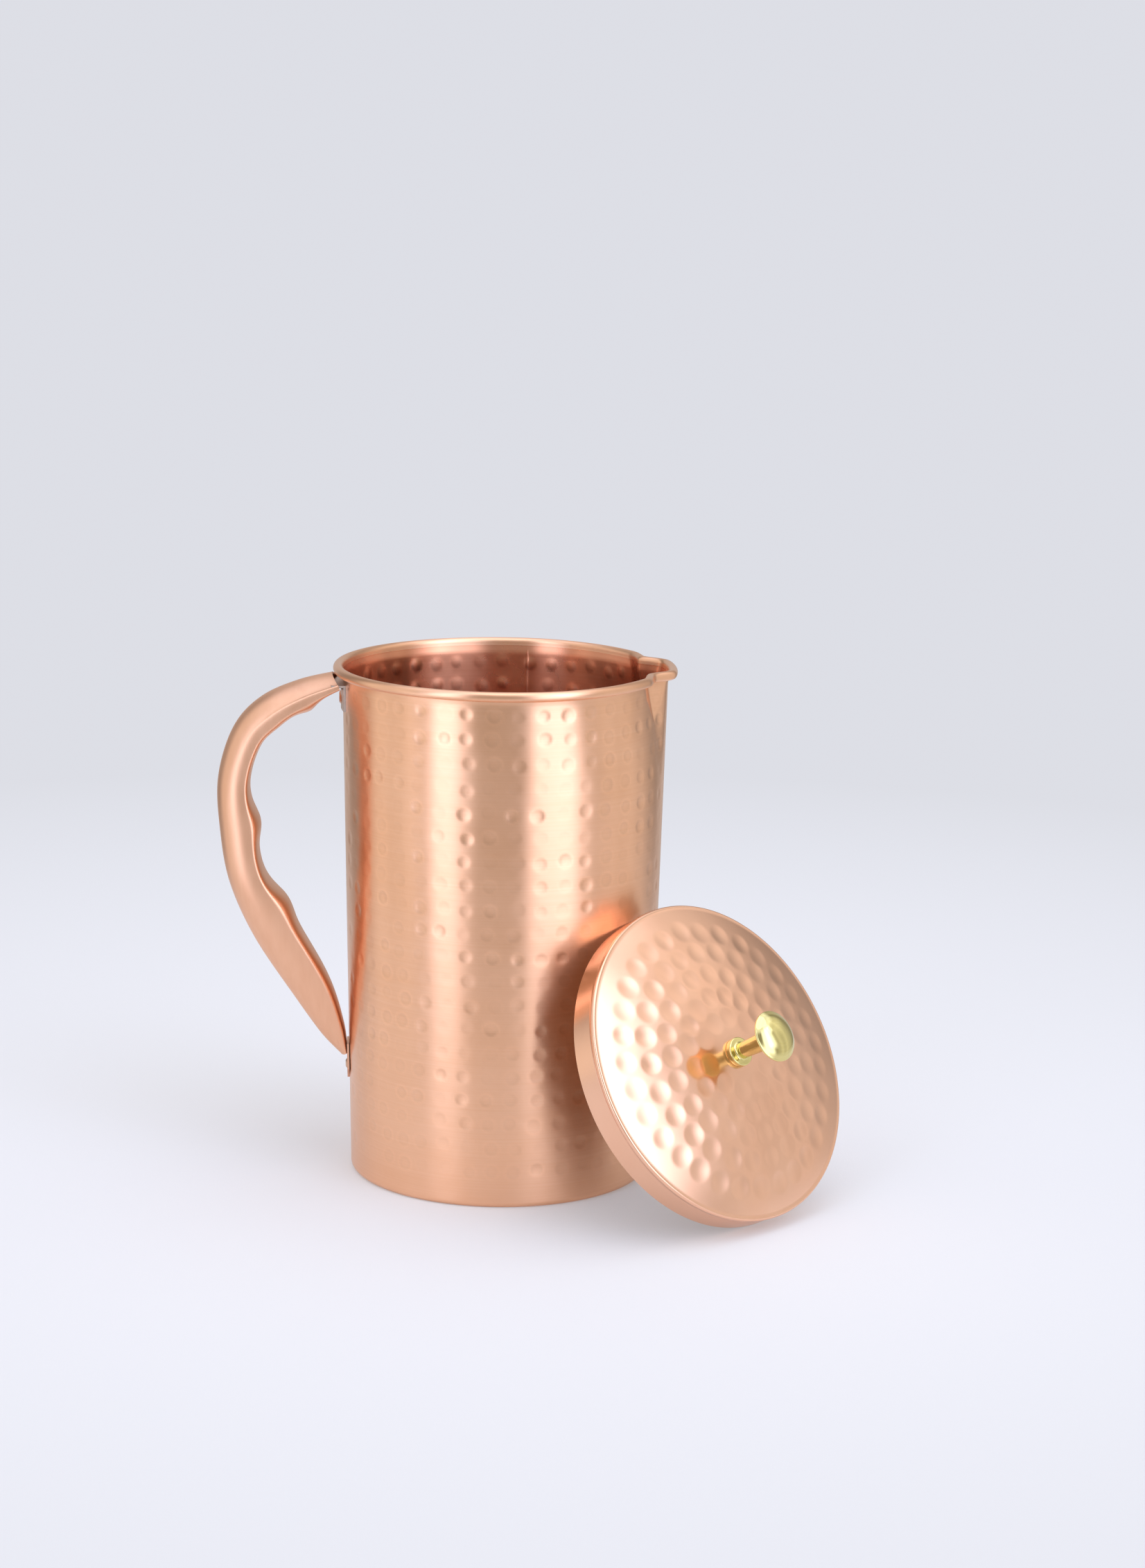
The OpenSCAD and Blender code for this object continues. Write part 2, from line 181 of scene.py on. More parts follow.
def wall_marks(angles, along, spots):
    """Depth and burnish of hammer marks on a grid of angles (degrees) and heights. Each spot is
    an angle, a height, a radius and a depth."""
    out = np.zeros((len(angles), len(along)))
    shine = np.zeros((len(angles), len(along)))
    for at, pos, size, depth in spots:
        reach = size * MARK_REACH
        rows = np.nonzero(np.abs(along - pos) < reach)[0]
        if len(rows) == 0:
            continue
        r = float(wall_r(pos))
        gap = angle_gap(angles, at)
        cols = np.nonzero(np.abs(np.radians(gap)) * r < reach)[0]
        if len(cols) == 0:
            continue
        x = np.radians(gap[cols])[:, None] * r
        y = (along[rows] - pos)[None, :]
        t = (x * x + y * y) / (size * size)
        s = np.sqrt(t)
        # A nearly flat floor, a steeper edge and a wide shallow surround
        bowl = 0.5 * np.maximum(0, 1 - t) + 0.5 * (1 - smooth((s - 0.45) / 0.6))
        out[np.ix_(cols, rows)] += depth * (bowl + 0.45 * np.exp(-t / 1.6))
        # The mark's edge stays dark where the brush passes over it, and the sheet round it shines
        ring = np.exp(-((s - 1.1) / 0.2) ** 2) - 0.9 * np.exp(-((s - 0.78) / 0.22) ** 2)
        shine[np.ix_(cols, rows)] += min(1, 6 * depth) * ring
    return out, shine


def make_wall():
    """The wall with its curled rim, lip, seam, base flange and hammer marks."""
    step = 0.75
    fine = 0.62
    angles = np.arange(0, 360, step)
    seam = SEAM_AT + np.array([-0.32, -0.16, 0, 0.16, 0.32])
    angles = np.sort(np.concatenate([angles[np.abs(angles - SEAM_AT) > 0.4], seam]))

    inner_corner = CORNER_R - SHEET
    mid = float(wall_r(CORNER_R)) - CORNER_R
    flange_in = mid - FLANGE
    z_in = np.arange(CORNER_R + 0.4, CURL_Z - 0.3, fine * 1.3)
    z_out = np.arange(CURL_Z - CURL_R - 0.1, CORNER_R + 0.4, -fine)

    def flare(z):
        return RIM_FLARE * (1 - smooth((CURL_Z - z) / 4))

    # Runs of points along the sheet, each with its finish: 0 as outside, 1 as inside
    parts = [
        (np.array([[flange_in, 0], [flange_in, SHEET]]), 0),
        (arc((mid, CORNER_R), inner_corner, -90, 0, 6), 1),
        (np.stack([wall_r(z_in) - SHEET + flare(z_in), z_in], -1), 1),
        (arc((CURL_MID, CURL_Z), CURL_R, 178, -105, 26), 0),
        (arc((CURL_MID, CURL_Z), CURL_R - SHEET, -105, 150, 20), 0),
        (np.stack([wall_r(z_out) + flare(z_out), z_out], -1), 0),
        (arc((mid, CORNER_R), CORNER_R, 0, -90, 9), 0),
    ]
    profile = np.concatenate([p for p, _ in parts])
    inside = np.concatenate([np.full(len(p), k) for p, k in parts])
    r, z = profile[:, 0], profile[:, 1]
    lip = np.abs(np.where(angles > 180, angles - 360, angles))[:, None]
    radius = r[None, :] - pinch(lip, np.maximum(0, CURL_Z - z)[None, :])

    # The hammer marks go through the sheet: dents outside, bumps inside
    order = np.argsort(z)
    marks, shine = np.zeros_like(radius), np.zeros_like(radius)
    marks[:, order], shine[:, order] = wall_marks(angles, z[order], wall_spots())
    # None of them are near the base or the rim
    fade = smooth((z - 7) / 5) * (1 - smooth((z - 180.5) / 3))
    on_wall = np.abs(r - wall_r(z) + SHEET / 2) < SHEET
    radius -= marks * (fade * on_wall)[None, :]

    # The lapped seam up the wall
    seam_gap = np.abs(angles - SEAM_AT)[:, None]
    seam_ends = smooth((z - 5) / 4) * (1 - smooth((z - 181) / 3))
    radius += 0.12 * np.maximum(0, 1 - seam_gap / SEAM_HALF) * (seam_ends * on_wall)[None, :]

    a = np.radians(angles)[:, None]
    verts = np.stack([radius * np.cos(a), radius * np.sin(a),
                      np.broadcast_to(z, radius.shape)], -1).reshape(-1, 3) * MM
    faces = loop_faces(len(angles), len(profile))
    slots = np.tile(np.minimum(inside, np.roll(inside, -1)), len(angles))
    obj = add_mesh("hammered_wall", verts, faces, 50, slots)
    burnish = obj.data.attributes.new("burnish", "FLOAT", "POINT")
    burnish.data.foreach_set("value", np.clip(shine * fade[None, :], -1, 1).ravel())
    return obj


# ---- handle -------------------------------------------------------------------------------------

REACH, HANDLE_H, HANDLE_TOP = 46.0, 143.0, JUG_H - 3.2
W_TOP, W_GRIP, W_END = 24.0, 21.0, 9.0
END_T = 2.6
# Along the handle: out from the wall and down from its top (as shares of its reach and height),
# thickness, and how much the section is drawn to a lens
HANDLE_ROWS = [
    [0.060, 0.022, 6.0, 1.0], [0.311, 0.054, 9.7, 0.7], [0.565, 0.101, 12.4, 0.35],
    [0.754, 0.165, 11.9, 0.1], [0.866, 0.278, 11.8, 0], [0.846, 0.400, 13.2, 0],
    [0.781, 0.530, 13.6, 0], [0.580, 0.662, 16.2, 0], [0.300, 0.815, 14.7, 0],
    [0.133, 0.928, 9.4, 0.2], [(SHEET + END_T / 2 - 0.3) / REACH, 0.995, END_T, 0.5]]
RIDGES, RIDGE_H, RIDGE_SPREAD = [1.0, 4.95, 6.7], 2.0, 0.34
EGG_WIDEST, EGG_POWER = -0.7, 2.4
HANDLE_SHARP = 50
LAST = len(HANDLE_ROWS) - 1


def handle_mid(u):
    """The handle's middle line at rows u: distance from the jug's axis, and height."""
    row = spline(HANDLE_ROWS, u)
    z = HANDLE_TOP - row[..., 1] * HANDLE_H
    return np.stack([wall_r(z) + row[..., 0] * REACH, z], -1)


def handle_points(u, a, w):
    """Points at rows u and angles a of the section, in by w from the outer surface."""
    s = u / LAST
    width = np.where(s < 0.3, W_TOP + (W_GRIP - W_TOP) * smooth(s / 0.3),
                     W_GRIP + (W_END - W_GRIP) * smooth((s - 0.62) / 0.38))
    step = handle_mid(np.minimum(u + 0.02, LAST)) - handle_mid(np.maximum(u - 0.02, 0))
    step /= np.linalg.norm(step, axis=-1, keepdims=True)
    out = np.stack([-step[..., 1], step[..., 0]], -1)
    row = spline(HANDLE_ROWS, u)
    ridge = RIDGE_H * np.max([np.exp(-((u - r) / RIDGE_SPREAD) ** 2) for r in RIDGES], axis=0)
    sa, ca = np.sin(a)[None, :], np.cos(a)[None, :]
    bump = np.where(sa < 0, ridge[:, None] * np.abs(sa) ** 3, 0)
    half = row[:, 2:3] / 2 + bump - w
    lens = 1 + np.maximum(0, row[:, 3:4])
    up = np.sign(sa) * half * np.abs(sa) ** lens
    # An egg-shaped section: flat sides, widest towards the jug
    away = np.where(sa > EGG_WIDEST, (sa - EGG_WIDEST) / (1 - EGG_WIDEST),
                    (EGG_WIDEST - sa) / (1 + EGG_WIDEST))
    across = (width[:, None] / 2 - w) * np.sign(ca) * np.sqrt(np.maximum(0, 1 - away ** EGG_POWER))
    mid = handle_mid(u)[:, None, :] + out[:, None, :] * up[..., None]
    return np.stack([-mid[..., 0], across, mid[..., 1]], -1)


def make_handle():
    """The hollow handle, open at its top end."""
    rings = 240
    sides = 72
    a = 2 * math.pi * (np.arange(sides) + 0.5) / sides
    u_out = np.linspace(0, LAST, rings)
    u_in = np.linspace(0, LAST - 0.12, rings)
    outer = handle_points(u_out, a, 0)
    inner = handle_points(u_in, a, SHEET)
    # The top end is cut to the curve of the rim
    for pts, u in ((outer, u_out), (inner, u_in)):
        curve = R_TOP - np.sqrt(R_TOP ** 2 - pts[..., 1] ** 2)
        pts[..., 0] += curve * (1 - smooth(u / 1.6))[:, None]
    count = rings * sides
    side = loop_faces(rings, sides, wrap_rings=False)
    lining = side[:, ::-1] + count
    i = np.arange(sides)
    mouth = np.stack([i, (i + 1) % sides, count + (i + 1) % sides, count + i], -1)
    verts = np.concatenate([outer.reshape(-1, 3), inner.reshape(-1, 3)]) * MM
    mesh_faces = np.concatenate([side, lining, mouth])
    obj = add_mesh("handle_tube", verts, mesh_faces, HANDLE_SHARP)
    # The lower ends of the outer and the inner surface are closed
    bm = bmesh.new()
    bm.from_mesh(obj.data)
    bm.verts.ensure_lookup_table()
    for base, flip in ((count - sides, False), (2 * count - sides, True)):
        ring = [bm.verts[base + k] for k in range(sides)]
        bm.faces.new(ring[::-1] if flip else ring)
    bmesh.ops.recalc_face_normals(bm, faces=bm.faces)
    bm.to_mesh(obj.data)
    bm.free()
    obj.data.shade_smooth()
    obj.data.set_sharp_from_angle(angle=math.radians(HANDLE_SHARP))
    return obj


# ---- lid ----------------------------------------------------------------------------------------

LEAN, LEAN_AZ = math.radians(29.4), math.radians(-47.5)
LID_R = R_TOP - SHEET - 0.4
EDGE_R = LID_R + 0.5
DOME_R = EDGE_R - 1.6
SKIRT_H, DOME_H, BOSS_R = 11.2, 9.2, 6.5
CAP_R = (DOME_R ** 2 + DOME_H ** 2) / (2 * DOME_H)
# Rings of hammer marks: radius, how many, where one of them is, how loosely they are placed
LID_RINGS = [(47.2, 31, 272.0, 0.6), (38.4, 25, 277.5, 0.6), (29.7, 21, 277.7, 0.6),
             (21.5, 17, 271.5, 0.6), (13.4, 10, 275.0, 1.2)]
LID_MARK_REACH, LID_MARK_POWER = 2.4, 1.45


def lid_place():
    """The lid's own frame: its open edge at z = 0, its knob towards +Z."""
    turn = Matrix.Rotation(LEAN_AZ, 4, "Z") @ Matrix.Rotation(math.pi / 2 - LEAN, 4, "Y")
    axis = (turn @ Vector((0, 0, 1))).normalized()
    pts = np.array([v.co for v in nodes["lid_cap"].data.vertices])
    h = pts @ np.array(axis)
    edge = pts[h < h.min() + 1e-5]
    mid = (edge.max(0) + edge.min(0)) / 2
    return Matrix.Translation(Vector(mid)) @ turn


def dome_z(r):
    """The height of the lid's top at radius r, with the flat boss at its middle."""
    full = np.sqrt(CAP_R ** 2 - r ** 2) - CAP_R + DOME_H
    top = math.sqrt(CAP_R ** 2 - BOSS_R ** 2) - CAP_R + DOME_H
    return SKIRT_H + np.minimum(full, top)


SEAT = float(dome_z(np.array(BOSS_R)))


def lathe(profile, sides):
    """The points of a profile turned round Z, one row of points for each side."""
    a = np.radians(np.arange(sides) * 360 / sides)[:, None]
    r, z = profile[:, 0], profile[:, 1]
    return np.stack([r * np.cos(a), r * np.sin(a), np.broadcast_to(z, (sides, len(z)))], -1)


def lid_spots():
    """The lid's hammer marks, each an angle, a distance from the middle, a radius and a depth."""
    rng = np.random.default_rng(21)
    spots = []
    for ring, count, start, loose in LID_RINGS:
        for k in range(count):
            spots.append((start + 360 * k / count + rng.uniform(-1, 1) * loose * 50 / ring,
                          ring + rng.uniform(-loose, loose), rng.uniform(4.1, 4.5),
                          rng.uniform(0.22, 0.32) * (1 if ring > 15 else 0.7)))
    return spots


def make_lid(place):
    """The lid with its skirt, turned edge and hammered dome."""
    sides = 480
    fine = 0.5
    hole = 2.05
    r_out = np.arange(DOME_R, BOSS_R, -fine)
    r_in = r_out[::-1][::2]
    outer = np.stack([r_out, dome_z(r_out)], -1)
    inner = np.stack([r_in, dome_z(r_in) - SHEET], -1)
    edge = np.array([[LID_R - SHEET, 0.0], [LID_R - SHEET * 0.5, 0.0], [LID_R, 0.15]])
    skirt_z = np.linspace(0.6, SKIRT_H - 2.2, 14)
    skirt = np.stack([np.full_like(skirt_z, LID_R), skirt_z], -1)
    bead = np.array([
        [LID_R + 0.12, SKIRT_H - 1.9], [EDGE_R - 0.05, SKIRT_H - 1.45], [EDGE_R, SKIRT_H - 1.1],
        [EDGE_R - 0.06, SKIRT_H - 0.65], [EDGE_R - 0.22, SKIRT_H - 0.3],
        [EDGE_R - 0.5, SKIRT_H - 0.1], [EDGE_R - 0.8, SKIRT_H - 0.03],
        [EDGE_R - 1.05, SKIRT_H - 0.1], [EDGE_R - 1.3, SKIRT_H - 0.04]])
    boss = np.array([[BOSS_R, SEAT], [hole, SEAT], [hole, SEAT - SHEET], [BOSS_R, SEAT - SHEET]])
    under = np.array([[LID_R - SHEET - 0.1, SKIRT_H - SHEET - 0.04],
                      [LID_R - SHEET, SKIRT_H - SHEET - 0.15]])
    profile = np.concatenate([edge, skirt, bead, outer, boss, inner, under])
    verts = lathe(profile, sides)
    angles = np.arange(sides) * 360 / sides
    r, z = profile[:, 0], profile[:, 1]
    # Both faces of the dome, without the boss
    domed = (r < DOME_R + 0.1) & (z > SKIRT_H - SHEET - 0.1) & (r > BOSS_R)
    marks = np.zeros((sides, len(r)))
    for at, pos, size, depth in lid_spots():
        gap = angle_gap(angles, at)
        cols = np.nonzero(np.abs(gap) < 40)[0]
        rows = np.nonzero(domed & (np.abs(r - pos) < size * LID_MARK_REACH))[0]
        th = np.radians(gap[cols])[:, None]
        x = r[rows][None, :] * np.sin(th)
        y = r[rows][None, :] * np.cos(th) - pos
        t = (x * x + y * y) / size ** 2
        marks[np.ix_(cols, rows)] += depth * np.maximum(0, 1 - t) ** LID_MARK_POWER
    verts[..., 2] -= marks
    faces = loop_faces(sides, len(profile))
    # The last two points of the boss and all after them are on the inside
    slots = np.tile(np.arange(len(profile)) >= len(profile) - len(under) - len(inner) - 2, sides)
    obj = add_mesh("hammered_lid", verts.reshape(-1, 3) * MM, faces[:, ::-1], 45, slots)
    obj.data.transform(place)
    return obj


KNOB_SHARP = 35


def make_knob(place):
    """The turned knob, with rounded edges."""
    neck, r_head = 19.3, 9.2
    stem, stem_head, flange, flange_h = 2.9, 3.4, 5.3, 2.3
    bore, bore_depth = 1.95, 9.0
    parts = [
        np.array([[bore, 0.0], [flange - 0.35, 0.0]]),
        arc((flange - 0.35, 0.35), 0.35, -90, 0, 5),
        arc((flange - 0.55, flange_h - 0.55), 0.55, 0, 90, 6),
        arc((stem + 0.9, flange_h + 0.9), 0.9, -90, -180, 7),
        np.linspace([stem, flange_h + 1.2], [stem_head, neck - 3.6], 12)[1:],
        arc((stem_head + 2.6, neck - 3.2), 2.6, 176, 100, 9),
        np.array([[6.6, neck - 0.42], [7.8, neck - 0.22]]),
        arc((r_head - 0.45, neck + 0.27), 0.45, -70, 70, 9),
    ]
    # A shallow bevel, then the dome
    top = [(8.55, neck + 0.95), (8.1, neck + 1.35), (7.4, neck + 1.85), (6.5, neck + 2.35),
           (5.4, neck + 2.8), (4.2, neck + 3.15), (3.0, neck + 3.4), (1.6, neck + 3.56),
           (0.0, neck + 3.6)]
    parts += [np.array(top), np.array([[0.0, bore_depth], [bore, bore_depth]])]
    profile = np.concatenate(parts)
    sides = 96
    verts = lathe(profile, sides).reshape(-1, 3)
    faces = loop_faces(sides, len(profile))
    verts[:, 2] += SEAT
    obj = add_mesh("turned_knob", verts * MM, faces[:, ::-1], KNOB_SHARP)
    bm = bmesh.new()
    bm.from_mesh(obj.data)
    bmesh.ops.remove_doubles(bm, verts=bm.verts, dist=1e-6)
    bmesh.ops.dissolve_degenerate(bm, edges=bm.edges, dist=1e-7)
    bmesh.ops.recalc_face_normals(bm, faces=bm.faces)
    bm.to_mesh(obj.data)
    bm.free()
    obj.data.shade_smooth()
    obj.data.set_sharp_from_angle(angle=math.radians(KNOB_SHARP))
    obj.data.transform(place)
    return obj


# ---- materials ----------------------------------------------------------------------------------

def shader(name, colour, rough, metal=1.0):
    """A new material with its node tree and its Principled node."""
    mat = bpy.data.materials.new(name)
    mat.use_nodes = True
    tree = mat.node_tree
    bsdf = next(n for n in tree.nodes if n.type == "BSDF_PRINCIPLED")
    bsdf.inputs["Base Color"].default_value = (*colour, 1)
    bsdf.inputs["Metallic"].default_value = metal
    bsdf.inputs["Roughness"].default_value = rough
    return mat, tree, bsdf


def noise(tree, coords, scale, detail=2.0, rough=0.5):
    """A noise over object coordinates scaled by an (x, y, z) factor."""
    mapping = tree.nodes.new("ShaderNodeMapping")
    mapping.inputs["Scale"].default_value = scale
    tree.links.new(coords, mapping.inputs["Vector"])
    node = tree.nodes.new("ShaderNodeTexNoise")
    node.inputs["Scale"].default_value = 1
    node.inputs["Detail"].default_value = detail
    node.inputs["Roughness"].default_value = rough
    tree.links.new(mapping.outputs["Vector"], node.inputs["Vector"])
    return node.outputs["Fac"]


def spread(tree, value, low, high, from_low, from_high):
    """A value spread from one range over another, and kept within it."""
    node = tree.nodes.new("ShaderNodeMapRange")
    node.inputs["From Min"].default_value = from_low
    node.inputs["From Max"].default_value = from_high
    node.inputs["To Min"].default_value = low
    node.inputs["To Max"].default_value = high
    tree.links.new(value, node.inputs["Value"])
    return node.outputs["Result"]


def tint(tree, fac, dark, light):
    """A colour between two, by a factor of 0 to 1."""
    node = tree.nodes.new("ShaderNodeMix")
    node.data_type = "RGBA"
    # Inputs 6 and 7 are the two colours
    node.inputs[6].default_value = (*dark, 1)
    node.inputs[7].default_value = (*light, 1)
    tree.links.new(fac, node.inputs[0])
    return node.outputs[2]


def bump(tree, bsdf, layers):
    """Bump from (value, strength, distance in metres) layers, one over the other."""
    last = None
    for value, strength, distance in layers:
        node = tree.nodes.new("ShaderNodeBump")
        node.inputs["Strength"].default_value = strength
        node.inputs["Distance"].default_value = distance
        tree.links.new(value, node.inputs["Height"])
        if last:
            tree.links.new(last, node.inputs["Normal"])
        last = node.outputs["Normal"]
    tree.links.new(last, bsdf.inputs["Normal"])


def brushed(name, dark, light, rough, grain, aniso=0.0, turned=None, depth=0.00002,
            marked=0.0):
    """Satin metal. grain scales the noise: large across the brush lines, small along them.
    A turned piece has its lines round the Z axis of the frame given. marked is how much the
    wall's hammer marks change the colour."""
    mat, tree, bsdf = shader(name, light, rough)
    coords = tree.nodes.new("ShaderNodeTexCoord").outputs["Object"]
    line_coords = coords
    if turned:
        back = turned.inverted()
        mapping = tree.nodes.new("ShaderNodeMapping")
        mapping.inputs["Location"].default_value = back.to_translation()
        mapping.inputs["Rotation"].default_value = back.to_euler()
        tree.links.new(coords, mapping.inputs["Vector"])
        coords = mapping.outputs["Vector"]
        # For lines round the piece's own axis, the distance from it takes the place of x
        split = tree.nodes.new("ShaderNodeSeparateXYZ")
        tree.links.new(coords, split.inputs[0])
        flat = tree.nodes.new("ShaderNodeCombineXYZ")
        tree.links.new(split.outputs[0], flat.inputs[0])
        tree.links.new(split.outputs[1], flat.inputs[1])
        length = tree.nodes.new("ShaderNodeVectorMath")
        length.operation = "LENGTH"
        tree.links.new(flat.outputs[0], length.inputs[0])
        joined = tree.nodes.new("ShaderNodeCombineXYZ")
        tree.links.new(length.outputs["Value"], joined.inputs[0])
        tree.links.new(split.outputs[1], joined.inputs[1])
        tree.links.new(split.outputs[2], joined.inputs[2])
        line_coords = joined.outputs[0]
    lines = noise(tree, line_coords, grain, detail=3)
    cloud = noise(tree, coords, (38, 38, 38), detail=4, rough=0.55)
    blend = tree.nodes.new("ShaderNodeMath")
    blend.operation = "MULTIPLY_ADD"
    blend.inputs[1].default_value = 0.4
    tree.links.new(spread(tree, lines, 0, 1, 0.2, 0.8), blend.inputs[0])
    tree.links.new(spread(tree, cloud, 0, 0.6, 0.15, 0.85), blend.inputs[2])
    shade = tint(tree, blend.outputs[0], dark, light)
    if marked:
        # Hammer marks that carry how burnished they are
        burnish = tree.nodes.new("ShaderNodeAttribute")
        burnish.attribute_name = "burnish"
        gain = spread(tree, burnish.outputs["Fac"], 1 - marked, 1 + marked, -1, 1)
        scaled = tree.nodes.new("ShaderNodeVectorMath")
        scaled.operation = "SCALE"
        tree.links.new(shade, scaled.inputs[0])
        tree.links.new(gain, scaled.inputs["Scale"])
        shade = scaled.outputs[0]
    tree.links.new(shade, bsdf.inputs["Base Color"])
    tree.links.new(spread(tree, cloud, rough * 0.8, rough * 1.2, 0.15, 0.85),
                   bsdf.inputs["Roughness"])
    bump(tree, bsdf, [(lines, 0.35, depth)])
    if aniso:
        tangent = tree.nodes.new("ShaderNodeTangent")
        tangent.direction_type = "RADIAL"
        tangent.axis = "Z"
        tree.links.new(tangent.outputs["Tangent"], bsdf.inputs["Tangent"])
        bsdf.inputs["Anisotropic"].default_value = aniso
        bsdf.inputs["Anisotropic Rotation"].default_value = 0.25
    return mat


LID_AT = lid_place()
wall_copper = brushed("wall_copper", (0.85, 0.455, 0.26), (0.95, 0.575, 0.38), 0.33,
                      (18, 18, 1500), 0.78, marked=0.07)
inside_copper = brushed("inside_copper", (0.68, 0.28, 0.15), (0.82, 0.40, 0.25), 0.27,
                        (18, 18, 1100), 0.8, marked=0.12)
handle_copper = brushed("handle_copper", (0.82, 0.44, 0.27), (0.92, 0.55, 0.36), 0.38,
                        (500, 500, 50), depth=0.00001)
tab_copper = brushed("tab_copper", (0.70, 0.38, 0.24), (0.86, 0.50, 0.34), 0.35,
                     (300, 300, 300))
lid_copper = brushed("lid_copper", (0.86, 0.48, 0.31), (0.95, 0.58, 0.40), 0.21,
                     (60, 60, 60), turned=LID_AT, depth=0.00003)
# Painted shade: the lid's inside gets a much darker copper than the rest, so the hollow under the
# leaning lid looks shadowed
lid_inside_painted_shade = brushed("lid_inside_painted_shade", (0.42, 0.20, 0.11), (0.54, 0.29, 0.17), 0.38, (120, 120, 120))
base_copper = brushed("base_copper", (0.62, 0.30, 0.18), (0.78, 0.42, 0.28), 0.33,
                      (200, 200, 200))
tinned_copper = brushed("tinned_copper", (0.60, 0.45, 0.37), (0.74, 0.66, 0.62), 0.36,
                        (300, 300, 1500))
rivet_copper = brushed("rivet_copper", (0.62, 0.40, 0.28), (0.80, 0.55, 0.42), 0.32,
                       (600, 600, 600))
knob_brass = brushed("knob_brass", (0.72, 0.60, 0.22), (0.84, 0.74, 0.35), 0.06,
                     (1500, 20, 20), turned=LID_AT, depth=0.000003)
screw_steel = brushed("screw_steel", (0.48, 0.48, 0.49), (0.64, 0.64, 0.66), 0.3,
                      (400, 400, 400))


def dress(obj, *materials):
    """Give an object these materials and no others."""
    while obj.data.materials:
        obj.data.materials.pop()
    for m in materials:
        obj.data.materials.append(m)


# ---- assembly -----------------------------------------------------------------------------------

wall = make_wall()
dress(wall, wall_copper, inside_copper)
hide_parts("body_wall")
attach(wall, "jug")

handle = make_handle()
dress(handle, handle_copper)
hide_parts("handle_shell")
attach(handle, "jug")

lid = make_lid(LID_AT)
dress(lid, lid_copper, lid_inside_painted_shade)
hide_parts("lid_cap")
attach(lid, "lid")

knob = make_knob(LID_AT)
dress(knob, knob_brass)
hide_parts("lid_knob")
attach(knob, "lid")

for name, mat in (("base_plate", base_copper), ("upper_bracket", tinned_copper),
                  ("lower_tab", tab_copper), ("upper_rivets", rivet_copper),
                  ("lower_rivet", rivet_copper), ("knob_washer", screw_steel),
                  ("knob_screw", screw_steel)):
    dress(nodes[name], mat)

# ---- floor, world and lights --------------------------------------------------------------------

BACK = (0.725, 0.735, 0.790)


def make_floor():
    """A round white cloth that fades into the background."""
    sides, size = 96, 9.0
    a = np.radians(np.arange(sides) * 360 / sides)
    ring = np.stack([size * np.cos(a), size * np.sin(a), np.zeros(sides)], -1)
    verts = np.concatenate([[[0, 0, 0]], ring])
    i = np.arange(sides)
    faces = np.stack([np.zeros(sides, int), i + 1, (i + 1) % sides + 1], -1)
    floor = add_mesh("floor", verts, faces)
    mat, tree, bsdf = shader("floor_cloth", (0.56, 0.553, 0.545), 0.8, 0)
    bsdf.inputs["Emission Color"].default_value = (0.97, 0.965, 1, 1)
    bsdf.inputs["Emission Strength"].default_value = 0.23
    coords = tree.nodes.new("ShaderNodeTexCoord").outputs["Object"]
    warp = noise(tree, coords, (1800, 250, 250), detail=2)
    weft = noise(tree, coords, (250, 1800, 250), detail=2)
    bump(tree, bsdf, [(warp, 0.15, 0.0002), (weft, 0.15, 0.0002)])
    # Far away the floor goes over into the plain background
    length = tree.nodes.new("ShaderNodeVectorMath")
    length.operation = "LENGTH"
    tree.links.new(coords, length.inputs[0])
    glow = tree.nodes.new("ShaderNodeEmission")
    glow.inputs["Color"].default_value = (*BACK, 1)
    far = tree.nodes.new("ShaderNodeMixShader")
    tree.links.new(spread(tree, length.outputs["Value"], 0, 1, 0.12, 0.75), far.inputs[0])
    tree.links.new(bsdf.outputs[0], far.inputs[1])
    tree.links.new(glow.outputs[0], far.inputs[2])
    # In the metal, the table ends and the room's lights are seen beyond it
    room = tree.nodes.new("ShaderNodeBsdfTransparent")
    path = tree.nodes.new("ShaderNodeLightPath")
    beyond = tree.nodes.new("ShaderNodeMath")
    beyond.operation = "MULTIPLY"
    tree.links.new(spread(tree, length.outputs["Value"], 0, 1, 0.24, 0.5), beyond.inputs[0])
    tree.links.new(path.outputs["Is Glossy Ray"], beyond.inputs[1])
    mix = tree.nodes.new("ShaderNodeMixShader")
    out = next(n for n in tree.nodes if n.type == "OUTPUT_MATERIAL")
    tree.links.new(beyond.outputs[0], mix.inputs[0])
    tree.links.new(far.outputs[0], mix.inputs[1])
    tree.links.new(room.outputs[0], mix.inputs[2])
    tree.links.new(mix.outputs[0], out.inputs["Surface"])
    floor.data.materials.append(mat)


make_floor()

# Soft boxes round the table, seen in the metal: azimuth from the camera's side (degrees, + to the
# camera's right), half width, height above the horizon, half height, strength, softness, colour
COOL, WARM = (0.92, 1.0, 1.28), (1.0, 0.98, 0.96)
BOXES = [
    (-41, 12, 8, 44, 1.9, 14, COOL),
    (-60, 14, -34, 16, 1.1, 14, COOL),
    (38, 19, 8, 44, 1.8, 18, COOL),
    (56, 13, 33, 25, 1.55, 17, COOL),
    (73, 9, 47, 8, 1.2, 9, COOL),
    (112, 24, 42, 14, 0.28, 20, WARM),
    (-99, 5, 5, 50, 0.16, 8, WARM),
    (-72, 4, 5, 50, 0.14, 8, WARM),
    (4, 4, 5, 50, 0.07, 8, WARM),
    (86, 4, 5, 50, 0.14, 8, WARM),
    (104, 4, 5, 50, 0.14, 8, WARM),
    (-87, 27, 5, 50, 0.52, 18, WARM),
    (-12, 16, 5, 50, 0.15, 20, WARM),
    (96, 30, 5, 50, 0.38, 36, WARM),
    (180, 32, 10, 60, 0.25, 16, WARM),
    (0, 180, 78, 27, 0.9, 16, COOL),
]
AMBIENT = 0.32
CAMERA_AZ = math.degrees(math.atan2(CAMERA_AT.y, CAMERA_AT.x))


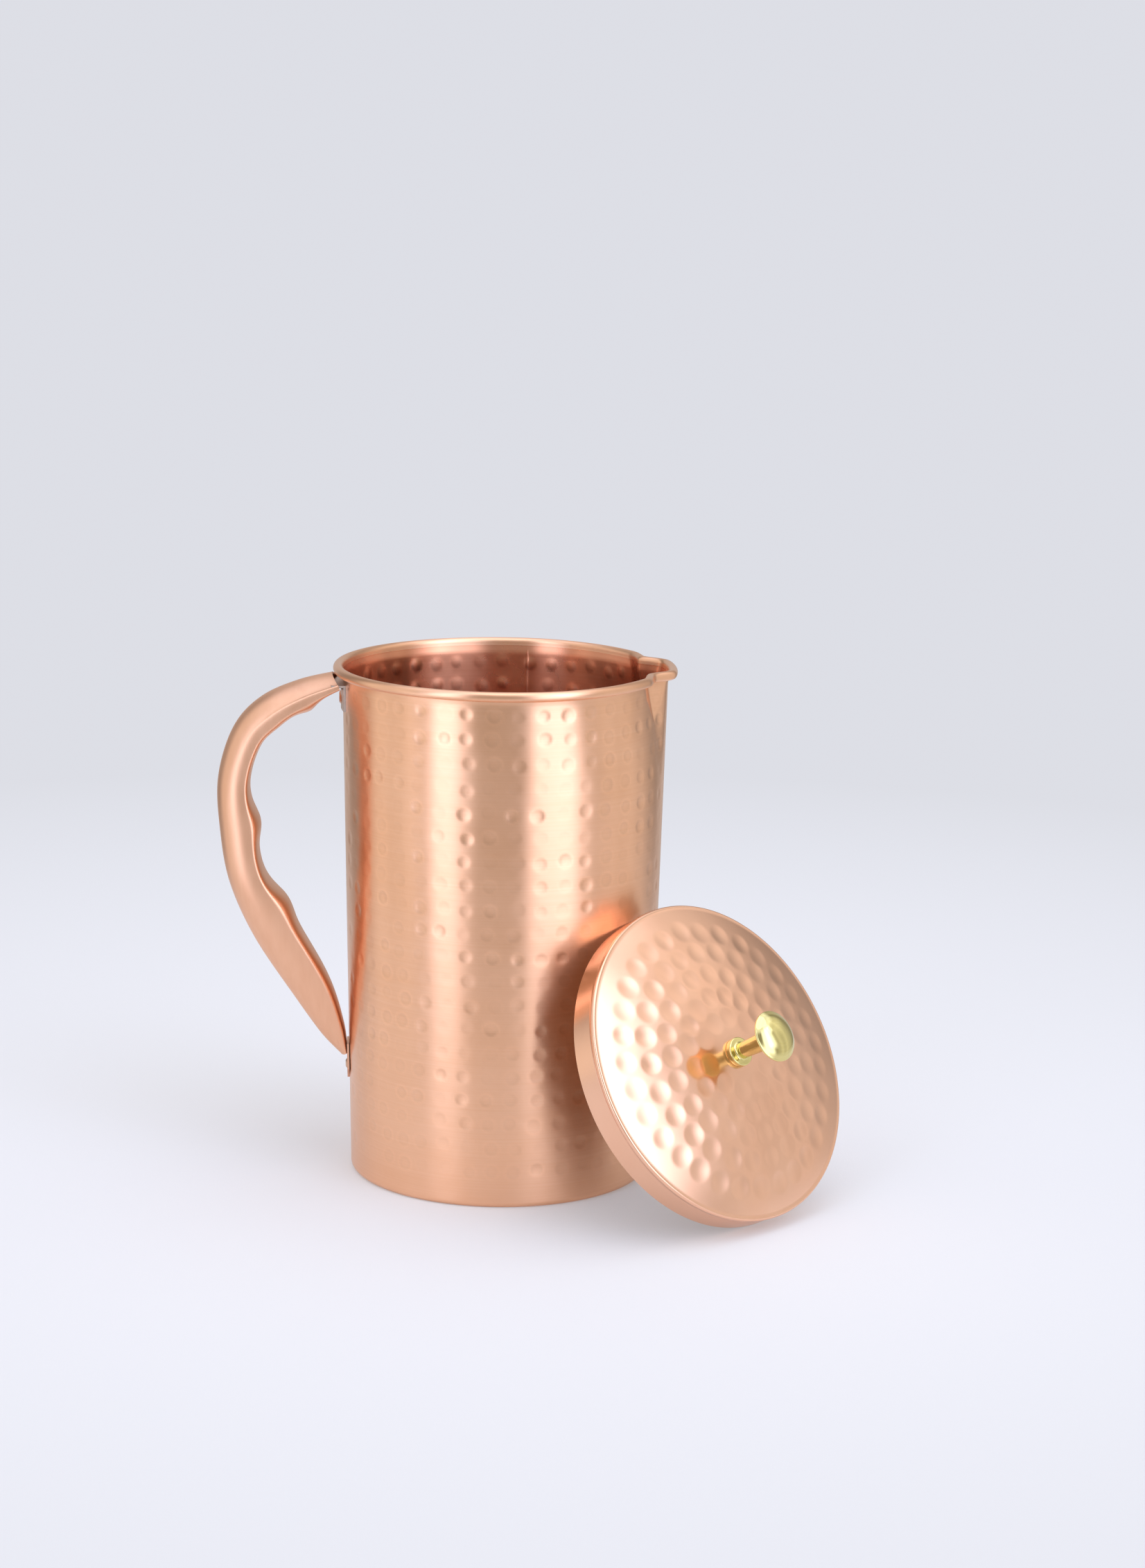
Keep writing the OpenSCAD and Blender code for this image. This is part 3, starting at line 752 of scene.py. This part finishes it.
def make_world():
    """The plain background for the camera, and the soft boxes for all other rays."""
    world = bpy.data.worlds.new("studio")
    bpy.context.scene.world = world
    world.use_nodes = True
    tree = world.node_tree
    new, link = tree.nodes.new, tree.links.new
    back = next(n for n in tree.nodes if n.type == "BACKGROUND")
    direction = new("ShaderNodeTexCoord").outputs["Generated"]

    def math_node(kind, *values):
        n = new("ShaderNodeMath")
        n.operation = kind
        for i, v in enumerate(values):
            if isinstance(v, (int, float)):
                n.inputs[i].default_value = v
            else:
                link(v, n.inputs[i])
        return n.outputs[0]

    # Angles in degrees: round from the camera's side, and up from the horizon
    turned = new("ShaderNodeVectorRotate")
    turned.rotation_type = "Z_AXIS"
    turned.inputs["Angle"].default_value = -math.radians(CAMERA_AZ)
    link(direction, turned.inputs["Vector"])
    split = new("ShaderNodeSeparateXYZ")
    link(turned.outputs[0], split.inputs[0])
    azimuth = math_node("ARCTAN2", split.outputs[1], split.outputs[0])
    azimuth = math_node("MULTIPLY", azimuth, 180 / math.pi)
    up = math_node("MULTIPLY", math_node("ARCSINE", split.outputs[2]), 180 / math.pi)

    def inside(value, mid, half, soft, wraps):
        """1 within half of mid, 0 beyond it, with a soft edge."""
        gap = math_node("ABSOLUTE", math_node("SUBTRACT", value, mid))
        if wraps:
            gap = math_node("MINIMUM", gap, math_node("SUBTRACT", 360, gap))
        n = new("ShaderNodeMapRange")
        n.interpolation_type = "SMOOTHSTEP"
        n.inputs["From Min"].default_value = half - soft / 2
        n.inputs["From Max"].default_value = half + soft / 2
        n.inputs["To Min"].default_value = 1
        n.inputs["To Max"].default_value = 0
        link(gap, n.inputs["Value"])
        return n.outputs[0]

    total = None
    for at, half, height, tall, strength, soft, colour in BOXES:
        part = math_node("MULTIPLY", inside(azimuth, at, half, soft, True),
                         inside(up, height, tall, soft, False))
        scaled = new("ShaderNodeVectorMath")
        scaled.operation = "SCALE"
        scaled.inputs[0].default_value = [strength * c for c in colour]
        link(part, scaled.inputs["Scale"])
        added = new("ShaderNodeVectorMath")
        added.operation = "ADD"
        link(scaled.outputs[0], added.inputs[0])
        if total is None:
            added.inputs[1].default_value = [AMBIENT * c for c in WARM]
        else:
            link(total, added.inputs[1])
        total = added.outputs[0]

    light = new("ShaderNodeBackground")
    link(total, light.inputs["Color"])
    back.inputs["Color"].default_value = (*BACK, 1)
    back.inputs["Strength"].default_value = 1
    path = new("ShaderNodeLightPath")
    mix = new("ShaderNodeMixShader")
    out = next(n for n in tree.nodes if n.type == "OUTPUT_WORLD")
    link(path.outputs["Is Camera Ray"], mix.inputs[0])
    link(light.outputs[0], mix.inputs[1])
    link(back.outputs[0], mix.inputs[2])
    link(mix.outputs[0], out.inputs["Surface"])


make_world()


def make_light():
    """A large soft light over the table, turned to the jug."""
    at, to = Vector((0.2, -0.3, 1.9)), Vector((0.02, 0, 0))
    data = bpy.data.lights.new("top_light", "AREA")
    data.shape = "RECTANGLE"
    data.size, data.size_y = 1.6, 1.2
    data.energy = 5
    obj = bpy.data.objects.new("top_light", data)
    bpy.context.scene.collection.objects.link(obj)
    turn = (to - at).to_track_quat("-Z", "Y").to_matrix().to_4x4()
    obj.matrix_world = Matrix.Translation(at) @ turn


make_light()

bpy.context.scene.view_settings.view_transform = "Standard"
